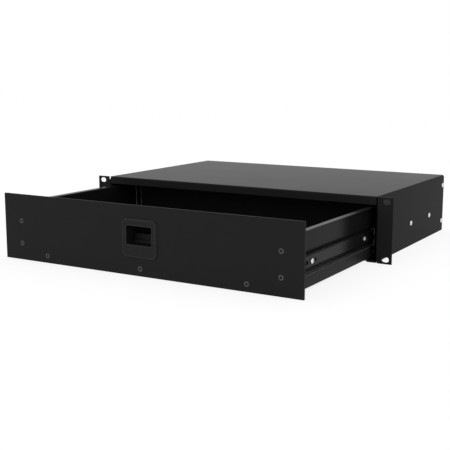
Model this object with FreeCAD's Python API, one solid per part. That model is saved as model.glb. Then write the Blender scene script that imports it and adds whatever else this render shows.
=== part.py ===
import FreeCAD, Part
import math
import os
from FreeCAD import Placement, Rotation, Vector

# Two-unit sliding drawer for a 19-inch rack, drawn with the drawer pulled fully out.
# Millimetres. X points right seen from the front, Y to the rear and Z up. The origin is the
# centre of the four rack holes, in the plane of the ears' front faces.

# Rack standard
EAR_SPAN = 482.6
EAR_HEIGHT = 88.1
RACK_HOLES_X = 465.1
RACK_HOLES_Z = 76.2
RACK_SLOT_LENGTH = 10.0
RACK_SLOT_WIDTH = 7.0

# Chassis
CHASSIS_SHEET = 1.2
CHASSIS_BEND = 0.8
CHASSIS_WIDTH = 440.0
CHASSIS_HEIGHT = 88.4
CHASSIS_DEPTH = 286.0
COVER_SHY = 1.6
LIP_HEIGHT = 11.0
FLOOR_FLANGE = 14.0
RELIEF_WIDTH = 3.4
RELIEF_HEIGHT = 4.2
REAR_FLANGE = 14.5
BASE_REAR_FLANGE = 12.0
BASE_SCREW_INSET = 6.7
BASE_SCREWS_Y = (40.0, 246.0)
REAR_SCREW_INSET = 9.5
REAR_SCREWS_Z = (28.8, -27.2)
REAR_SCREW_LENGTH = 4.2
BASE_SCREW_LENGTH = 5.0
REAR_PANEL_GAP = 0.3
REAR_FLANGE_GAP = 1.0

# Drawer
DRAWER_SHEET = 1.0
DRAWER_BEND = 0.6
PANEL_WIDTH = 445.6
PANEL_HEIGHT = 88.1
PANEL_THICKNESS = 2.0
PANEL_FRONT = -222.0
PANEL_LIFT = 0.5
PANEL_CORNER = 0.4
WALL_X = 206.8
WALL_TOP = 30.4
WALL_FLANGE = 7.8
WALL_FRONT_FLANGE = 21.3
WALL_FOOT = 12.8
PAN_BOTTOM = -40.5
PAN_FLANGE = 16.1
PAN_FRONT_HALF = 184.0
PAN_SLOT_Y = 18.0
PAN_SLOT = (7.0, 3.4)
PAN_SLOT_RISE = 7.1
REAR_WALL_Y = 60.0
REAR_WALL_TAB = 12.0

# Panel screws: four into the side walls' flanges, three into the pan's flange
SIDE_SCREW_X = 194.0
SIDE_SCREWS_Z = (8.8, -21.4)
PAN_SCREWS_X = (-150.0, 0.0, 150.0)
PAN_SCREW_Z = -34.2
PANEL_SCREW_LENGTH = 6.5
COUNTERSINK_SHARE = 0.9

# Ball-bearing slides, measured from the drawer wall outwards and from the slide's centre line
SLIDE_Z = -10.0
SLIDE_SHEET = 1.2
SLIDE_BEND = 0.8
CABINET_HALF = 13.2
CABINET_LIP = 1.8
CABINET_FRONT = 4.0
SLIDE_LENGTH = 265.0
MEMBER_HALF = 10.1
MEMBER_DEPTH = 6.2
MEMBER_REAR = 46.5
BALL_RADIUS = 1.5
BALL_OFFSET = 4.0
BALL_HALF = 11.05
BALL_PITCH = 10.0
BALLS_PER_ROW = 4
BALL_BANDS = 4
RACE_RADIUS = 1.75
CAGE_SHEET = 0.8
CAGE_HALF = 11.45
CAGE_DEPTH = (2.4, 7.8)
CAGE_Y = (5.5, 45.3)
STOP_WIDTH = 6.0
STOP_PLAY = 0.3
CABINET_SCREWS_Y = (38.0, 132.4, 214.6)
MEMBER_SCREWS_Y = (-172.5, -13.0, 34.0)
MEMBER_SLOT_Y = -186.5
MEMBER_SLOT = (9.0, 4.6)
MEMBER_HOLE_Y = -161.5
MEMBER_HOLE_RADIUS = 2.2
BUMPER_FRONT = 266.5
BUMPER_LENGTH = 4.2
SLIDE_SCREW_LENGTH = 3.6
MEMBER_SCREW_LENGTH = 3.0

# Slam latch
BEZEL_WIDTH = 51.0
BEZEL_HEIGHT = 48.0
BEZEL_PROUD = 2.0
BEZEL_CORNER = 4.5
BEZEL_BEVEL = 1.1
BEZEL_Z = 3.6
WINDOW_WIDTH = 38.6
WINDOW_HEIGHT = 24.0
WINDOW_Z = 7.2
CUP_WALL = 1.5
CUP_REAR = -206.0
CUP_CORNER = 0.5
LUG_FRONT = -210.4
LUG_PROUD = 1.9
LUG_HALF = 4.0
PIVOT_Y = -204.5
PIVOT_Z = -5.5
PIN_RADIUS = 1.2
PIN_PLAY = 0.05
BARREL_RADIUS = 2.2
PADDLE_TOP = 6.5
PADDLE_SHEET = 2.0
PADDLE_ARM = 11.5
PADDLE_ARM_HALF = 10.0
PADDLE_ARM_SHEET = 2.5
PADDLE_ARM_DROP = 1.25
PADDLE_RIB = 1.5
PADDLE_RIB_X = 12.0
PADDLE_RIB_DEPTH = 5.0
LATCH_PLAY = 0.5
BOLT_FRONT = -217.6
BOLT_REAR = -211.4
BOLT_TRAVEL = 5.2
BOLT_LEG = (21.6, 27.6)
BOLT_BAR = 4.0
BOLT_NOSE_TOP = 37.5
BOLT_NOSE_HALF = 8.0
BOLT_NOSE_FLAT = 1.4
BOLT_NOSE_FOOT = 2.4
BOLT_CORNER = 1.0
BOLT_WALL = 1.2
BOLT_REST_GAP = 0.35
SPRING_RADIUS = 1.5
SPRING_WIRE = 0.25
SPRING_TURNS = 6
SPRING_STEPS = 8
SPRING_FLOOR = 4.0
SPRING_CEILING = 2.0
POST_RISE = 3.0
POST_HEIGHT = 2.6
POST_WIDTH = 3.0
HOUSING_WALL = 1.8
HOUSING_REAR = -186.2
HOUSING_DROP = 8.8
HOUSING_CORNER = 2.0
GUIDE_PLAY = 0.4
STUD_X = 35.0
STUDS_Z = (-8.0, 20.0)
STUD_EDGE = 4.5
STUD_LENGTH = 6.5

# Fasteners; what is turned small and often gets this many flat sides
TURNED_SIDES = 10
M4_RADIUS = 2.0
M3_RADIUS = 1.5
HOLE_PLAY = 0.15
HEAD_RADIUS = 3.5
HEAD_HEIGHT = 1.8
FLAT_HEAD_RADIUS = 3.6
SOCKET = 2.5
NUT_RADIUS = 4.0
NUT_HEIGHT = 2.2
M3_NUT = 5.5
M3_NUT_HEIGHT = 2.4

CHASSIS_HALF = CHASSIS_WIDTH / 2
CHASSIS_TOP = CHASSIS_HEIGHT / 2
CHASSIS_INNER = CHASSIS_HALF - CHASSIS_SHEET
CHASSIS_FOLD = CHASSIS_SHEET + CHASSIS_BEND
COVER_REAR = CHASSIS_DEPTH - COVER_SHY
FLOOR_TOP = -CHASSIS_TOP + CHASSIS_SHEET
PANEL_BACK = PANEL_FRONT + PANEL_THICKNESS
PAN_TOP = PAN_BOTTOM + DRAWER_SHEET
WALL_INNER = WALL_X - DRAWER_SHEET
DRAWER_FOLD = DRAWER_SHEET + DRAWER_BEND
REAR_WALL_BACK = REAR_WALL_Y + DRAWER_SHEET
CABINET_WEB = CHASSIS_INNER - WALL_X
RIGHT = Vector(1, 0, 0)
BACK = Vector(0, 1, 0)
UP = Vector(0, 0, 1)
REACH = 5.0
TOUCH = 1e-6


# ---------------------------------------------------------------- shape helpers

def xz(x, z):
    return Vector(x, 0, z)


def yz(y, z):
    return Vector(0, y, z)


def xy(x, y):
    return Vector(x, y, 0)


NORMALS = {xz: BACK, yz: RIGHT, xy: UP}


def outline(plane, points, radii):
    """Face inside a closed outline, with each corner rounded by its radius."""
    corners = [plane(*point) for point in points]
    count = len(corners)
    turns = []
    for index, corner in enumerate(corners):
        before = (corners[index - 1] - corner).normalize()
        after = (corners[(index + 1) % count] - corner).normalize()
        radius = radii[index]
        if radius == 0:
            turns.append((corner, None, corner))
            continue
        half_angle = before.getAngle(after) / 2
        tangent = radius / math.tan(half_angle)
        inward = (before + after).normalize()
        middle = corner + inward * (radius / math.sin(half_angle) - radius)
        turns.append((corner + before * tangent, middle, corner + after * tangent))
    edges = []
    for index, (start, middle, stop) in enumerate(turns):
        if middle is not None:
            edges.append(Part.Arc(start, middle, stop).toShape())
        following = turns[(index + 1) % count][0]
        if stop.distanceToPoint(following) > TOUCH:
            edges.append(Part.makeLine(stop, following))
    return Part.Face(Part.Wire(edges))


def prism(plane, points, start, stop, radius=0.0):
    """Outline in a plane, carried along the plane's normal; radius is one value or one a corner."""
    radii = radius if isinstance(radius, (list, tuple)) else [radius] * len(points)
    face = outline(plane, points, radii)
    face.translate(NORMALS[plane] * start)
    return face.extrude(NORMALS[plane] * (stop - start))


def sheet(plane, path, thickness, bend, start, stop):
    """Folded sheet whose one face follows path; the metal lies left of it, or right if negative."""
    vectors = [Vector(a, b, 0) for a, b in path]
    steps = [(after - before).normalize() for before, after in zip(vectors, vectors[1:])]
    normals = [Vector(-step.y, step.x, 0) for step in steps]
    far, near_radii, far_radii = [], [], []
    for index, point in enumerate(vectors):
        first = normals[max(index - 1, 0)]
        second = normals[min(index, len(normals) - 1)]
        mitre = (first + second) * (thickness / (1 + first.dot(second)))
        far.append(point + mitre)
        corner = 0 < index < len(vectors) - 1
        turn = steps[index - 1].cross(steps[index]).z * thickness if corner else 0
        near_radii.append((bend + abs(thickness) if turn > 0 else bend) if corner else 0)
        far_radii.append((bend if turn > 0 else bend + abs(thickness)) if corner else 0)
    points = list(path) + [(point.x, point.y) for point in reversed(far)]
    return prism(plane, points, start, stop, near_radii + far_radii[::-1])


def block(x_range, y_range, z_range):
    """Box between two limits on each axis."""
    sizes = [high - low for low, high in (x_range, y_range, z_range)]
    return Part.makeBox(*sizes, Vector(x_range[0], y_range[0], z_range[0]))


def rectangle(width, height, centre):
    """Corners of a rectangle about a centre."""
    a, b = centre
    return [(a - width / 2, b - height / 2), (a + width / 2, b - height / 2),
            (a + width / 2, b + height / 2), (a - width / 2, b + height / 2)]


def rod(radius, start, stop):
    """Round bar from one point to another."""
    along = stop - start
    return Part.makeCylinder(radius, along.Length, start, along)


def flat_face(points):
    """Face inside a closed line through points that lie in one plane."""
    return Part.Face(Part.makePolygon(points + points[:1]))


def turned(profile, at, direction):
    """Solid turned in flat sides from (radius, height) points, standing at a point."""
    step = 2 * math.pi / TURNED_SIDES
    faces = []
    for (first, low), (second, high) in zip(profile, profile[1:] + profile[:1]):
        for side in range(TURNED_SIDES):
            ring = []
            for radius, height, turn in ((first, low, side), (first, low, side + 1),
                                         (second, high, side + 1), (second, high, side)):
                point = Vector(radius * math.cos(turn * step), radius * math.sin(turn * step), height)
                if all(point.distanceToPoint(other) > TOUCH for other in ring):
                    ring.append(point)
            if len(ring) > 2:
                faces.append(flat_face(ring))
    solid = Part.Solid(Part.Shell(faces)).removeSplitter()
    solid.Placement = Placement(at, Rotation(UP, direction))
    return solid


def drill(radius, start, stop):
    """Bar in flat sides between two points, to cut a fastener's hole or to fill one."""
    along = stop - start
    return turned([(0, 0), (radius, 0), (radius, along.Length), (0, along.Length)], start, along)


def hexagon(across_flats, height, at, direction):
    """Six-sided bar standing at a point."""
    radius = across_flats / math.sqrt(3)
    points = [(radius * math.cos(math.radians(60 * step)), radius * math.sin(math.radians(60 * step)))
              for step in range(6)]
    solid = prism(xy, points, 0, height)
    solid.Placement = Placement(at, Rotation(UP, direction))
    return solid


def fused(shapes):
    """One solid from touching shapes."""
    return shapes[0].multiFuse(shapes[1:]).removeSplitter()


def mirrored(shape):
    """The same piece on the other side of the drawer."""
    return shape.mirror(Vector(), RIGHT)


def both_sides(shape):
    return [shape, mirrored(shape)]


def pan_screw(at, outward, length):
    """Domed screw; at is where its head sits, outward points from there through the head."""
    profile = [(0, -length), (M4_RADIUS, -length), (M4_RADIUS, 0), (HEAD_RADIUS, 0),
               (HEAD_RADIUS, HEAD_HEIGHT * 0.4), (HEAD_RADIUS * 0.6, HEAD_HEIGHT), (0, HEAD_HEIGHT)]
    return turned(profile, at, outward)


def flat_screw(at, outward, length, depth):
    """Countersunk screw; at is the centre of its flush face and depth the height of its cone."""
    profile = [(0, -length), (M4_RADIUS, -length), (M4_RADIUS, -depth), (FLAT_HEAD_RADIUS, 0), (0, 0)]
    socket = hexagon(SOCKET, depth, at - outward * depth * 0.8, outward)
    return turned(profile, at, outward).cut(socket)


def countersink(at, outward, depth):
    """The hole that a countersunk screw leaves in its sheet."""
    shank = M4_RADIUS + HOLE_PLAY
    profile = [(0, -REACH), (shank, -REACH), (shank, -depth), (FLAT_HEAD_RADIUS, 0),
               (FLAT_HEAD_RADIUS, REACH), (0, REACH)]
    return turned(profile, at, outward)


# ---------------------------------------------------------------- chassis

def ear():
    """Right ear: the front of the side wall folded outwards, with its two rack slots."""
    path = [(EAR_SPAN / 2, 0), (CHASSIS_INNER, 0), (CHASSIS_INNER, CHASSIS_FOLD)]
    solid = sheet(xy, path, -CHASSIS_SHEET, CHASSIS_BEND, -EAR_HEIGHT / 2, EAR_HEIGHT / 2)
    for level in (-RACK_HOLES_Z / 2, RACK_HOLES_Z / 2):
        corners = rectangle(RACK_SLOT_LENGTH, RACK_SLOT_WIDTH, (RACK_HOLES_X / 2, level))
        solid = solid.cut(prism(xz, corners, -REACH, REACH, RACK_SLOT_WIDTH / 2))
    return solid


def chassis_cover():
    """Top, sides, front lip, ears and floor flanges, folded from one sheet."""
    profile = [(CHASSIS_HALF - FLOOR_FLANGE, -CHASSIS_TOP), (CHASSIS_HALF, -CHASSIS_TOP),
               (CHASSIS_HALF, CHASSIS_TOP), (-CHASSIS_HALF, CHASSIS_TOP),
               (-CHASSIS_HALF, -CHASSIS_TOP), (-CHASSIS_HALF + FLOOR_FLANGE, -CHASSIS_TOP)]
    shell = sheet(xz, profile, CHASSIS_SHEET, CHASSIS_BEND, CHASSIS_FOLD, COVER_REAR)
    relief_inner = CHASSIS_HALF - RELIEF_WIDTH + CHASSIS_SHEET
    relief_outer = CHASSIS_HALF + CHASSIS_SHEET
    lip_path = [(0, CHASSIS_TOP - LIP_HEIGHT), (0, CHASSIS_TOP), (CHASSIS_FOLD, CHASSIS_TOP)]
    lip = sheet(yz, lip_path, -CHASSIS_SHEET, CHASSIS_BEND, -relief_inner, relief_inner)
    cover = fused([shell, lip] + both_sides(ear()))
    relief_x = (relief_inner, relief_outer)
    relief_y = (-REACH, CHASSIS_FOLD)
    upper = block(relief_x, relief_y, (CHASSIS_TOP - RELIEF_HEIGHT, CHASSIS_TOP + REACH))
    lower = block(relief_x, relief_y, (-CHASSIS_TOP - REACH, -CHASSIS_TOP + RELIEF_HEIGHT))
    rear = block((CHASSIS_HALF - CHASSIS_FOLD, CHASSIS_HALF + REACH),
                 (COVER_REAR - CHASSIS_FOLD, CHASSIS_DEPTH),
                 (CHASSIS_TOP - CHASSIS_FOLD, CHASSIS_TOP + REACH))
    cuts = both_sides(upper) + both_sides(lower) + both_sides(rear)
    for y, z in side_screw_places():
        start, stop = Vector(CHASSIS_INNER - REACH, y, z), Vector(CHASSIS_HALF + REACH, y, z)
        cuts += both_sides(drill(M4_RADIUS + HOLE_PLAY, start, stop))
    for y in BASE_SCREWS_Y:
        place = Vector(CHASSIS_HALF - BASE_SCREW_INSET, y, -CHASSIS_TOP)
        cuts += both_sides(countersink(place, -UP, CHASSIS_SHEET))
    return cover.cut(cuts)


def slide_screw_places():
    return [(y, SLIDE_Z) for y in CABINET_SCREWS_Y]


def rear_screw_places():
    return [(CHASSIS_DEPTH - REAR_SCREW_INSET, z) for z in REAR_SCREWS_Z]


def side_screw_places():
    return slide_screw_places() + rear_screw_places()


def side_screws(places, length):
    """Domed screws through both chassis sides."""
    screws = []
    for y, z in places:
        screws += both_sides(pan_screw(Vector(CHASSIS_HALF, y, z), RIGHT, length))
    return Part.makeCompound(screws)


def base_plate():
    """Floor plate that lies on the cover's flanges and folds up behind the drawer."""
    rear = CHASSIS_DEPTH - CHASSIS_SHEET
    path = [(CHASSIS_FOLD, FLOOR_TOP), (rear, FLOOR_TOP), (rear, FLOOR_TOP + BASE_REAR_FLANGE)]
    half = CHASSIS_INNER - CHASSIS_FOLD
    plate = sheet(yz, path, CHASSIS_SHEET, CHASSIS_BEND, -half, half)
    holes = []
    for y in BASE_SCREWS_Y:
        place = Vector(CHASSIS_HALF - BASE_SCREW_INSET, y, FLOOR_TOP - REACH)
        holes += both_sides(drill(M4_RADIUS, place, place + UP * 2 * REACH))
    return plate.cut(holes)


def base_screws():
    """Countersunk screws through the cover's flanges, up into the floor plate."""
    screws = []
    for y in BASE_SCREWS_Y:
        place = Vector(CHASSIS_HALF - BASE_SCREW_INSET, y, -CHASSIS_TOP)
        screws += both_sides(flat_screw(place, -UP, BASE_SCREW_LENGTH, CHASSIS_SHEET))
    return Part.makeCompound(screws)


def rear_panel():
    """Back of the chassis, with flanges forward inside the cover."""
    inner = CHASSIS_TOP - CHASSIS_SHEET
    front = CHASSIS_DEPTH - REAR_FLANGE
    side_path = [(CHASSIS_INNER, front), (CHASSIS_INNER, CHASSIS_DEPTH),
                 (-CHASSIS_INNER, CHASSIS_DEPTH), (-CHASSIS_INNER, front)]
    sides = sheet(xy, side_path, CHASSIS_SHEET, CHASSIS_BEND, REAR_FLANGE_GAP - inner, inner - CHASSIS_FOLD)
    plate_path = [(CHASSIS_DEPTH, REAR_PANEL_GAP - CHASSIS_TOP), (CHASSIS_DEPTH, inner), (front, inner)]
    width = CHASSIS_INNER - CHASSIS_FOLD
    plate = sheet(yz, plate_path, CHASSIS_SHEET, CHASSIS_BEND, -width, width)
    holes = []
    for y, z in rear_screw_places():
        holes += both_sides(drill(M4_RADIUS, Vector(WALL_X, y, z), Vector(CHASSIS_HALF, y, z)))
    return fused([sides, plate]).cut(holes)


# ---------------------------------------------------------------- slides

def across(offset, height):
    """Point of a slide's section: offset out from the drawer wall, height from its centre line."""
    return (WALL_X + offset, SLIDE_Z + height)


def races(section, facing):
    """Form the two ball races into a slide member; facing is +1 where they open outwards."""
    start, stop = section.BoundBox.YMin, section.BoundBox.YMax
    edge = MEMBER_HALF if facing > 0 else CABINET_HALF - SLIDE_SHEET
    for side in (-1, 1):
        x, z = across(BALL_OFFSET, side * BALL_HALF)
        groove = rod(RACE_RADIUS, Vector(x, start, z), Vector(x, stop, z))
        swell = rod(RACE_RADIUS + SLIDE_SHEET, Vector(x, start, z), Vector(x, stop, z))
        low, high = (0, edge) if facing > 0 else (edge, 2 * edge)
        levels = sorted((SLIDE_Z + side * low, SLIDE_Z + side * high))
        keep = block((WALL_X, CHASSIS_INNER), (start, stop), levels)
        section = section.fuse(swell.common(keep)).cut(groove)
    return section.removeSplitter()


def cabinet_member():
    """Outer channel of a slide, screwed to the chassis side; it opens towards the drawer."""
    path = [across(CABINET_LIP, -CABINET_HALF), across(CABINET_WEB, -CABINET_HALF),
            across(CABINET_WEB, CABINET_HALF), across(CABINET_LIP, CABINET_HALF)]
    channel = sheet(xz, path, SLIDE_SHEET, SLIDE_BEND, CABINET_FRONT, CABINET_FRONT + SLIDE_LENGTH)
    member = races(channel, -1)
    stop_tab = block((WALL_X + CAGE_DEPTH[1] - 2 * STOP_PLAY, CHASSIS_INNER),
                     (CABINET_FRONT, CABINET_FRONT + SLIDE_SHEET),
                     (SLIDE_Z - STOP_WIDTH / 2, SLIDE_Z + STOP_WIDTH / 2))
    holes = []
    for y, z in slide_screw_places():
        holes.append(drill(M4_RADIUS, Vector(CHASSIS_INNER - REACH, y, z), Vector(CHASSIS_HALF, y, z)))
    return member.fuse(stop_tab).removeSplitter().cut(holes)


def drawer_member():
    """Inner channel of a slide, screwed to the drawer's wall; its races face up and down."""
    path = [across(MEMBER_DEPTH, MEMBER_HALF), across(0, MEMBER_HALF),
            across(0, -MEMBER_HALF), across(MEMBER_DEPTH, -MEMBER_HALF)]
    member = races(sheet(xz, path, SLIDE_SHEET, SLIDE_BEND, MEMBER_REAR - SLIDE_LENGTH, MEMBER_REAR), 1)
    stop_tab = block((WALL_X, WALL_X + CAGE_DEPTH[1] - STOP_PLAY), (MEMBER_REAR - SLIDE_SHEET, MEMBER_REAR),
                     (SLIDE_Z - STOP_WIDTH / 2, SLIDE_Z + STOP_WIDTH / 2))
    holes = [(y, M4_RADIUS + HOLE_PLAY) for y in MEMBER_SCREWS_Y] + [(MEMBER_HOLE_Y, MEMBER_HOLE_RADIUS)]
    cuts = [drill(radius, Vector(WALL_X - REACH, y, SLIDE_Z), Vector(WALL_X + REACH, y, SLIDE_Z))
            for y, radius in holes]
    slot = rectangle(*MEMBER_SLOT, (MEMBER_SLOT_Y, SLIDE_Z))
    cuts.append(prism(yz, slot, WALL_X - REACH, WALL_X + REACH, MEMBER_SLOT[1] / 2 - HOLE_PLAY))
    return member.fuse(stop_tab).removeSplitter().cut(cuts)


def member_screws():
    """Screws that hold the slides' inner channels to the drawer's walls."""
    screws = []
    for y in MEMBER_SCREWS_Y:
        seat = Vector(WALL_X + SLIDE_SHEET, y, SLIDE_Z)
        screws += both_sides(pan_screw(seat, RIGHT, MEMBER_SCREW_LENGTH))
    return Part.makeCompound(screws)


def ball_places():
    """Centres of the right slide's balls: two rows, evenly spaced along the cage."""
    middle = sum(CAGE_Y) / 2
    first = middle - BALL_PITCH * (BALLS_PER_ROW - 1) / 2
    places = []
    for side in (-1, 1):
        x, z = across(BALL_OFFSET, side * BALL_HALF)
        places += [Vector(x, first + BALL_PITCH * step, z) for step in range(BALLS_PER_ROW)]
    return places


def ball_cage():
    """Strip that spaces the balls and floats between the two channels of a slide."""
    near, far = CAGE_DEPTH
    path = [across(near, CAGE_HALF), across(far, CAGE_HALF),
            across(far, -CAGE_HALF), across(near, -CAGE_HALF)]
    cage = sheet(xz, path, -CAGE_SHEET, SLIDE_BEND, *CAGE_Y)
    cuts = []
    for place in ball_places():
        pocket = rectangle(2 * BALL_RADIUS, 2 * BALL_RADIUS, (place.x, place.y))
        cuts.append(prism(xy, pocket, place.z - REACH / 2, place.z + REACH / 2))
    length = CAGE_Y[1] - CAGE_Y[0] - 2 * BALL_PITCH
    window = rectangle(length, CAGE_HALF, (sum(CAGE_Y) / 2, SLIDE_Z))
    cuts.append(prism(yz, window, WALL_X, CHASSIS_INNER))
    return cage.cut(cuts)


def balls():
    """The right slide's balls, each turned in a few bands."""
    angles = [math.pi * (band / BALL_BANDS - 0.5) for band in range(BALL_BANDS + 1)]
    profile = [(BALL_RADIUS * math.cos(angle), BALL_RADIUS * math.sin(angle)) for angle in angles]
    return Part.makeCompound([turned(profile, place, UP) for place in ball_places()])


def slide_bumpers():
    """Rubber blocks in the rear ends of the outer channels, where the drawer stops."""
    depth = (WALL_X + CABINET_LIP, CHASSIS_INNER - SLIDE_SHEET)
    centre = (sum(depth) / 2, SLIDE_Z)
    corners = rectangle(depth[1] - depth[0], MEMBER_HALF * 1.6, centre)
    bumper = prism(xz, corners, BUMPER_FRONT, BUMPER_FRONT + BUMPER_LENGTH)
    return Part.makeCompound(both_sides(bumper))


# ---------------------------------------------------------------- drawer

def panel_screw_places():
    sides = [(side * SIDE_SCREW_X, z) for side in (-1, 1) for z in SIDE_SCREWS_Z]
    return sides + [(x, PAN_SCREW_Z) for x in PAN_SCREWS_X]


def panel_hole(x, z, radius):
    return drill(radius, Vector(x, PANEL_FRONT - REACH, z), Vector(x, PANEL_FRONT + 2 * REACH, z))


def front_panel():
    """Flat front plate with the latch's window and countersunk holes."""
    corners = rectangle(PANEL_WIDTH, PANEL_HEIGHT, (0, PANEL_LIFT))
    panel = prism(xz, corners, PANEL_FRONT, PANEL_BACK, PANEL_CORNER)
    gap = 2 * (CUP_WALL + HOLE_PLAY)
    window = rectangle(WINDOW_WIDTH + gap, WINDOW_HEIGHT + gap, (0, WINDOW_Z))
    cuts = [prism(xz, window, PANEL_FRONT - REACH, PANEL_FRONT + REACH)]
    for x, z in panel_screw_places():
        cuts.append(countersink(Vector(x, PANEL_FRONT, z), -BACK, PANEL_THICKNESS * COUNTERSINK_SHARE))
    return panel.cut(cuts)


def panel_screws():
    """Countersunk screws that hold the front plate to the drawer's flanges."""
    cone = PANEL_THICKNESS * COUNTERSINK_SHARE
    return Part.makeCompound([flat_screw(Vector(x, PANEL_FRONT, z), -BACK, PANEL_SCREW_LENGTH, cone)
                              for x, z in panel_screw_places()])


def clinch_nuts():
    """Round nuts pressed to the backs of the drawer's front flanges."""
    seat = PANEL_BACK + DRAWER_SHEET
    profile = [(M4_RADIUS, 0), (NUT_RADIUS, 0), (NUT_RADIUS, NUT_HEIGHT), (M4_RADIUS, NUT_HEIGHT)]
    return Part.makeCompound([turned(profile, Vector(x, seat, z), BACK) for x, z in panel_screw_places()])


def drawer_pan():
    """Floor of the drawer with a flange up each edge, outside the walls."""
    outer = WALL_X + DRAWER_SHEET
    rim = PAN_BOTTOM + PAN_FLANGE
    rear = REAR_WALL_BACK + DRAWER_SHEET
    cross = [(-outer, rim), (-outer, PAN_BOTTOM), (outer, PAN_BOTTOM), (outer, rim)]
    trough = sheet(xz, cross, DRAWER_SHEET, DRAWER_BEND, PANEL_BACK + DRAWER_FOLD, rear - DRAWER_FOLD)
    front_path = [(PANEL_BACK, rim), (PANEL_BACK, PAN_BOTTOM), (PANEL_BACK + DRAWER_FOLD, PAN_BOTTOM)]
    front = sheet(yz, front_path, DRAWER_SHEET, DRAWER_BEND, -PAN_FRONT_HALF, PAN_FRONT_HALF)
    rear_half = WALL_INNER - DRAWER_SHEET
    rear_path = [(rear - DRAWER_FOLD, PAN_BOTTOM), (rear, PAN_BOTTOM), (rear, rim)]
    back = sheet(yz, rear_path, DRAWER_SHEET, DRAWER_BEND, -rear_half, rear_half)
    slot_corners = rectangle(*PAN_SLOT, (PAN_SLOT_Y, PAN_BOTTOM + PAN_SLOT_RISE))
    slot = prism(yz, slot_corners, WALL_X - HOLE_PLAY, outer + REACH, PAN_SLOT[1] / 2)
    cuts = both_sides(slot) + [panel_hole(x, PAN_SCREW_Z, M4_RADIUS) for x in PAN_SCREWS_X]
    return fused([trough, front, back]).cut(cuts)


def drawer_side():
    """Right wall: folded out at the top, in at the bottom and in at the front."""
    bottom = PAN_TOP
    cross = [(WALL_X - WALL_FOOT, bottom), (WALL_X, bottom), (WALL_X, WALL_TOP - DRAWER_SHEET),
             (WALL_X + WALL_FLANGE, WALL_TOP - DRAWER_SHEET)]
    wall = sheet(xz, cross, DRAWER_SHEET, DRAWER_BEND,
                 PANEL_BACK + DRAWER_FOLD, REAR_WALL_BACK - DRAWER_BEND)
    flange_path = [(WALL_X - WALL_FRONT_FLANGE, PANEL_BACK), (WALL_X, PANEL_BACK),
                   (WALL_X, PANEL_BACK + DRAWER_FOLD)]
    flange = sheet(xy, flange_path, DRAWER_SHEET, DRAWER_BEND, bottom + DRAWER_FOLD,
                   WALL_TOP - DRAWER_SHEET - DRAWER_FOLD)
    cuts = [panel_hole(SIDE_SCREW_X, z, M4_RADIUS) for z in SIDE_SCREWS_Z]
    for y in MEMBER_SCREWS_Y:
        start, stop = Vector(WALL_INNER - REACH, y, SLIDE_Z), Vector(WALL_X + REACH, y, SLIDE_Z)
        cuts.append(drill(M4_RADIUS, start, stop))
    return fused([wall, flange]).cut(cuts)


def drawer_rear_wall():
    """Back of the drawer, folded forwards at its sides and top."""
    front = REAR_WALL_Y - REAR_WALL_TAB
    foot = PAN_TOP + DRAWER_FOLD
    side_path = [(WALL_INNER, front), (WALL_INNER, REAR_WALL_BACK),
                 (-WALL_INNER, REAR_WALL_BACK), (-WALL_INNER, front)]
    sides = sheet(xy, side_path, DRAWER_SHEET, DRAWER_BEND, foot, WALL_TOP - 2 * DRAWER_FOLD)
    top_path = [(REAR_WALL_BACK, foot), (REAR_WALL_BACK, WALL_TOP), (front, WALL_TOP)]
    half = WALL_INNER - DRAWER_FOLD
    plate = sheet(yz, top_path, DRAWER_SHEET, DRAWER_BEND, -half, half)
    return fused([sides, plate])


# ---------------------------------------------------------------- latch

def latch_bezel():
    """Moulded finger cup: a bevelled plate on the panel with a tunnel through it and two snap lugs."""
    half_width, half_height = BEZEL_WIDTH / 2, BEZEL_HEIGHT / 2
    corners = []
    for x_sign, z_sign in ((1, -1), (1, 1), (-1, 1), (-1, -1)):
        along = (x_sign * (half_width - BEZEL_CORNER), BEZEL_Z + z_sign * half_height)
        aside = (x_sign * half_width, BEZEL_Z + z_sign * (half_height - BEZEL_CORNER))
        corners += [along, aside] if x_sign * z_sign < 0 else [aside, along]
    front = PANEL_FRONT - BEZEL_PROUD
    plate = prism(xz, corners, front, PANEL_FRONT)
    rim = [edge for edge in plate.Edges
           if edge.BoundBox.YMax - front < TOUCH]
    plate = plate.makeChamfer(BEZEL_BEVEL, rim)
    outer = rectangle(WINDOW_WIDTH + 2 * CUP_WALL, WINDOW_HEIGHT + 2 * CUP_WALL, (0, WINDOW_Z))
    inner = rectangle(WINDOW_WIDTH, WINDOW_HEIGHT, (0, WINDOW_Z))
    tunnel = prism(xz, outer, PANEL_FRONT, CUP_REAR, CUP_WALL)
    mouth = prism(xz, inner, front - REACH, CUP_REAR + REACH, CUP_CORNER)
    floor_end = PIVOT_Y - BARREL_RADIUS - LATCH_PLAY
    floor_gap = block((-WINDOW_WIDTH / 2, WINDOW_WIDTH / 2), (floor_end, CUP_REAR + REACH),
                      (WINDOW_Z - WINDOW_HEIGHT, WINDOW_Z - WINDOW_HEIGHT / 2 + TOUCH))
    wall = WINDOW_WIDTH / 2 + CUP_WALL
    root = wall - CUP_WALL / 2
    lug_points = [(root, LUG_FRONT), (wall + LUG_PROUD, LUG_FRONT), (wall, CUP_REAR), (root, CUP_REAR)]
    lug = prism(xy, lug_points, WINDOW_Z - LUG_HALF, WINDOW_Z + LUG_HALF)
    return fused([plate, tunnel] + both_sides(lug)).cut([mouth, floor_gap])


def bolt_levels():
    """Heights of the bolt frame's lower and upper bars at rest."""
    lower_top = PIVOT_Z - PADDLE_ARM_DROP - PADDLE_ARM_SHEET - BOLT_REST_GAP
    upper_bottom = WINDOW_Z + WINDOW_HEIGHT / 2 + CUP_WALL + BOLT_TRAVEL + GUIDE_PLAY
    return lower_top, upper_bottom


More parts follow.
